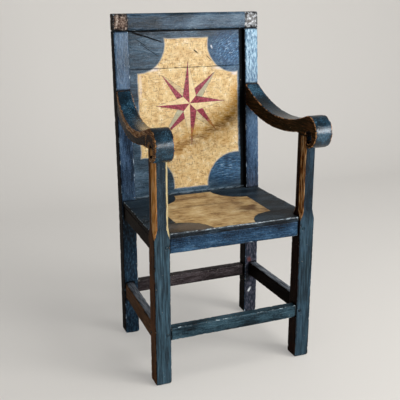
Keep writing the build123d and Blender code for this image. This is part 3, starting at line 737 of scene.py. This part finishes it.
def seat_painting(tree, here, facing, timber, rub, colour):
    """The tan field, its brown wear, and the front arris rubbed white."""
    x = millimetres(tree, here, 0, waver(tree, here, 22, 2.6, 1.0))
    y = millimetres(tree, here, 1, waver(tree, here, 22, 2.6, 8.0))
    room = inside_field(tree, x, y, seat_field, seat_hollows)
    in_field = add(tree, "MapRange", room, -1.0, 1.0)
    upward = turned(tree, facing, 2, 0.6, 0.8)
    in_field = add(tree, "Math", in_field, upward, operation="MULTIPLY")
    mottle = add(tree, "TexNoise", here, 26.0, 7.0, 0.66)
    slid = streaks(tree, timber, 60, 4, 9.4, 6.0)
    tan = add(tree, "Mix", 0.5, mottle, slid, data_type="FLOAT")
    tan = add(tree, "ValToRGB", tan,
              stops=[(0.38, "#6A4A2C"), (0.45, "#A78556"), (0.54, "#C6A876"), (0.64, "#DCC8A0")])
    for centre, size, strength in seat_stains:
        patch = soft_patch(tree, x, y, centre, size, mottle, strength)
        tan = add(tree, "Mix", patch, tan, "#56331C", data_type="RGBA")
    browned = soft_patch(tree, x, y, *browned_corner, mottle, 0.6)
    browned = add(tree, "Math", browned, upward, operation="MULTIPLY")
    specks = add(tree, "TexNoise", here, 150.0, 3.0, 0.6)
    specks = add(tree, "MapRange", specks, 0.61, 0.66)
    for share in (soft_patch(tree, x, y, *specked, mottle, 0.7), upward):
        specks = add(tree, "Math", specks, share, operation="MULTIPLY")
    front_arris = add(tree, "MapRange", add(tree, "Math", rub, slid, operation="ADD"),
                      1.15, 1.35, 0.0, 0.8)
    front_arris = add(tree, "Math", front_arris, add(tree, "MapRange", y, -166, -164, 1.0, 0.0),
                      operation="MULTIPLY")
    for share, tint in ((browned, "#75675A"), (specks, "#AEBAC4"), (in_field, tan),
                        (front_arris, "#C9D4DA")):
        colour = add(tree, "Mix", share, colour, tint, data_type="RGBA")
    return colour, 0.0


# a dark, dulled blue round the tan field
# its faces to the left are near black: painted shade
seat_paint = aged_paint("worn_seat_oil_paint", ("#0D1115", "#1C262E", "#303E4A", "#62757F"),
                        arris=("#222B33", "#98A6AE"), left=("#0C0806", "#2A1C13"),
                        local=seat_painting, chalk=0.2)
for part, seams, bridged in (("front", (back, down), ("seat_board", "front_seat_rail")),
                             ("middle", (fore, back), ("seat_board",)),
                             ("rear", (fore,), ("seat_board",))):
    node = "seat_board_" + part
    dressed(worn_piece(node, "X", chip=0.8, seams=seams, bridged=bridged), seat_paint,
            "painted_seat", node)

# ---- arms
# Each is sawn from one thick plank, hollowed on top and rolled over into a scroll at the front.
# The sides are rubbed to brown wood, the top and the roll keep a dark blue-green.
arm_cell = 2.0
# seen from the side, in Y and Z: the middle of the scroll and of the hollow in its curl
scroll_middle, scroll_hollow = (-188, 701), (-190, 687)
# soft edges, each between two distances
scroll_edge = (-160, -148)   # the scroll gives way to the straight part of the arm, in Y
rim_edge = (28, 33)          # the orange rim of the scroll, from its middle
band_edge = (14, 19)         # the orange band, from the top of the arm
hollow_edge = (20, 26)       # the hollow, from its middle


def depth_below_the_top(arm, node):
    """How far each point lies under the upper face of the arm, kept with the points."""
    sawn = sawn_shapes[node]
    middle = sum(corner[0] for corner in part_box(node)) / 2
    overhead = 1.0
    depths = []
    for vertex in arm.data.vertices:
        hit = sawn.ray_cast(Vector((middle, vertex.co.y, overhead)), Vector((0, 0, -1)))[0]
        depths.append(hit.z - vertex.co.z if hit else 0.0)
    arm.data.attributes.new("below_top", "FLOAT", "POINT").data.foreach_set("value", depths)


def rubbed_sides(tree, here, facing, timber, rub, colour):
    """Both sawn sides have lost their paint and carry only dark varnish. The left arm is rubbed
    to orange wood in a band under its top and round the scroll; the right one is nearly black.
    The wall of the hollow in each scroll is painted near black as painted shade."""
    cloud = streaks(tree, timber, 52, 6, 2.9, 6.0)
    uneven = add(tree, "Math", cloud, -0.5, operation="ADD")
    leaning = add(tree, "Math", add(tree, "SeparateXYZ", facing, out=0), operation="ABSOLUTE")
    leaning = add(tree, "Math", uneven, 0.5, leaning, operation="MULTIPLY_ADD")
    side = add(tree, "MapRange", leaning, 0.62, 0.72)
    wood = add(tree, "ValToRGB", cloud,
               stops=[(0.36, "#0F0B08"), (0.52, "#251A11"), (0.66, "#40291A"), (0.80, "#6A4428")])
    orange = add(tree, "ValToRGB", streaks(tree, timber, 30, 3, 4.6, 6.0),
                 stops=[(0.36, "#553216"), (0.47, "#A46E3A"), (0.58, "#CC9A62"), (0.70, "#E6C8A0")])

    y, z = millimetres(tree, here, 1), millimetres(tree, here, 2)
    spot = add(tree, "CombineXYZ", y, z, 0.0)
    scroll = add(tree, "MapRange", y, *scroll_edge, 1.0, 0.0)
    straight = add(tree, "Math", 1.0, scroll, operation="SUBTRACT")
    rim = add(tree, "VectorMath", spot, (*scroll_middle, 0), operation="DISTANCE")
    rim = add(tree, "Math", uneven, 20, rim, operation="MULTIPLY_ADD")
    rim = add(tree, "MapRange", rim, *rim_edge)
    rim = add(tree, "Math", rim, scroll, operation="MULTIPLY")
    band = add(tree, "Attribute", attribute_name="below_top", out=2)
    band = add(tree, "Math", uneven, 40 * MM, band, operation="MULTIPLY_ADD")
    band = add(tree, "MapRange", band, *(v * MM for v in band_edge), 1.0, 0.0)
    band = add(tree, "Math", band, straight, operation="MULTIPLY")
    hollow = add(tree, "VectorMath", spot, (*scroll_hollow, 0), operation="DISTANCE")
    hollow = add(tree, "MapRange", hollow, *hollow_edge, 0.95, 0.0)
    rubbed = add(tree, "Math", add(tree, "Math", band, rim, operation="MAXIMUM"), hollow,
                 operation="MAXIMUM")
    on_left = add(tree, "MapRange", right_half(tree, here), 0.0, 1.0, 0.95, 0.0)
    rubbed = add(tree, "Math", rubbed, on_left, operation="MULTIPLY")
    mottled = add(tree, "Math", add(tree, "MapRange", cloud, 0.45, 0.6, 0.0, 0.6), scroll,
                  operation="MULTIPLY")
    for share, tint in ((rubbed, orange), (mottled, "#5A3520")):
        wood = add(tree, "Mix", share, wood, tint, data_type="RGBA")
    colour = add(tree, "Mix", side, colour, wood, data_type="RGBA")
    # painted shade: the wall of the hollow in the scroll is painted near black
    hollow_shade = add(tree, "Math", 1.0, side, operation="SUBTRACT")
    hollow_shade = add(tree, "Math", hollow, hollow_shade, operation="MULTIPLY")
    return (add(tree, "Mix", hollow_shade, colour, "#1A0F08", data_type="RGBA"),
            add(tree, "Math", side, 0.95, operation="MULTIPLY"))


# almost black-green under the thickest varnish on the chair, with hard glints on the roll
arm_paint = aged_paint("dark_teal_oil_paint", ("#071015", "#0F232E", "#1C3E52", "#6894AC"),
                       arris=("#4E2C18", "#C08C58"), wear=0.64, local=rubbed_sides, gloss=0.22, coat=0.9,
                       relief=0.5, chalk=0.32)
for side in ("left", "right"):
    node = "arm_" + side
    arm = worn_piece(node, "Y", cell=arm_cell, chip=2.0)
    depth_below_the_top(arm, node)
    dressed(arm, arm_paint, "painted_arm", node)

# ---- pegs and nails
# Riven oak pegs, cut level and painted over with the frame, and square cut nails in the seat
# boards. They fill their holes, so no dirt gathers round their heads.
peg_cell, nail_cell = 1.2, 1.0
never_worn = 1.6             # more wear than an arris ever has
everything = tuple(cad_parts)
# the blue of the frame over end grain, which hides a peg but for its outline
peg_paint = aged_paint("painted_oak_peg", ("#111C24", "#22343F", "#33505C", "#56707F"),
                       wear=never_worn)
dressed(worn_piece("joint_pegs", "Y", cell=peg_cell, chip=0.4, bridged=everything), peg_paint,
        "peg_wood", "joint_pegs")
# iron that has rusted through its paint: small brown dots in the seat
nail_rust = aged_paint("rusted_iron_under_paint", ("#14100E", "#241B16", "#3A2E26", "#5A4A40"),
                       wear=never_worn)
dressed(worn_piece("seat_nails", "Z", cell=nail_cell, chip=0.3, bridged=everything), nail_rust,
        "nail_iron", "seat_nails")

# ---- studio
# A plain pale floor that curves up into a pale wall, a large soft lamp from the right, a low strip
# lamp in front for the glints in the varnish, a weak one from above, and an even sky.
floor_half, floor_front, wall_back, wall_height, cove_radius = 6.0, -5.0, 2.4, 5.0, 0.9
cove_steps = 24
cove = [math.pi / 2 * i / cove_steps for i in range(cove_steps + 1)]
profile = [(wall_back - cove_radius + cove_radius * math.sin(a), cove_radius * (1 - math.cos(a)))
           for a in cove]
profile = [(floor_front, 0.0)] + profile + [(wall_back, wall_height)]
floor_mesh = bpy.data.meshes.new("studio_floor")
sweep = bmesh.new()
rows = [[sweep.verts.new((x, y, z)) for x in (-floor_half, floor_half)] for y, z in profile]
for (a, b), (c, d) in zip(rows, rows[1:]):
    sweep.faces.new((a, b, d, c)).smooth = True
sweep.to_mesh(floor_mesh)
sweep.free()
studio_floor = bpy.data.objects.new("studio_floor", floor_mesh)
bpy.context.scene.collection.objects.link(studio_floor)
# flat wall paint, lit a little by itself so that it stays even behind the chair
backdrop = bpy.data.materials.new("pale_painted_backdrop")
backdrop.use_nodes = True
wall_tree = backdrop.node_tree
plaster = wall_tree.nodes["Principled BSDF"]
plaster.inputs["Base Color"].default_value = linear("#B4B0AA")
plaster.inputs["Roughness"].default_value = 0.8
plaster.inputs["Emission Color"].default_value = linear("#F4F2EE")
glow = add(wall_tree, "Math", add(wall_tree, "LightPath"), 0.32, operation="MULTIPLY")
wall_tree.links.new(glow, plaster.inputs["Emission Strength"])
floor_mesh.materials.append(backdrop)


def soft_lamp(name, place, aim, width, height, watts):
    """A rectangular lamp at a place, turned to face another."""
    lamp = bpy.data.lights.new(name, "AREA")
    lamp.shape, lamp.size, lamp.size_y, lamp.energy = "RECTANGLE", width, height, watts
    body = bpy.data.objects.new(name, lamp)
    body.location = place
    body.rotation_euler = (Vector(aim) - Vector(place)).to_track_quat("-Z", "Y").to_euler()
    bpy.context.scene.collection.objects.link(body)
    return body


soft_lamp("window_lamp", (2.5, -2.4, 1.5), (0, 0, 0.45), 1.2, 1.5, 84)
soft_lamp("strip_lamp", (1.3, -3.0, 1.1), (0, 0, 0.7), 1.3, 0.7, 50)
soft_lamp("top_lamp", (0.6, -0.6, 3.0), (0, 0, 0.4), 2.0, 2.0, 32).visible_glossy = False
world = bpy.data.worlds.new("studio_sky")
bpy.context.scene.world = world
world.use_nodes = True
world.node_tree.nodes["Background"].inputs["Color"].default_value = linear("#E8E8EA")
world.node_tree.nodes["Background"].inputs["Strength"].default_value = 0.22

# ---- camera
# From the left front, a little above the chair, looking down at it.
looks_down, turns_right = 0.297, 0.383   # radians
eye = bpy.data.cameras.new("camera")
eye.sensor_width = 36
eye.lens = 64.71
camera = bpy.data.objects.new("camera", eye)
camera.location = (-0.8008, -1.8846, 1.1023)
camera.rotation_euler = (math.pi / 2 - looks_down, 0, -turns_right)
bpy.context.scene.collection.objects.link(camera)
bpy.context.scene.camera = camera
bpy.context.scene.view_settings.view_transform = "Standard"
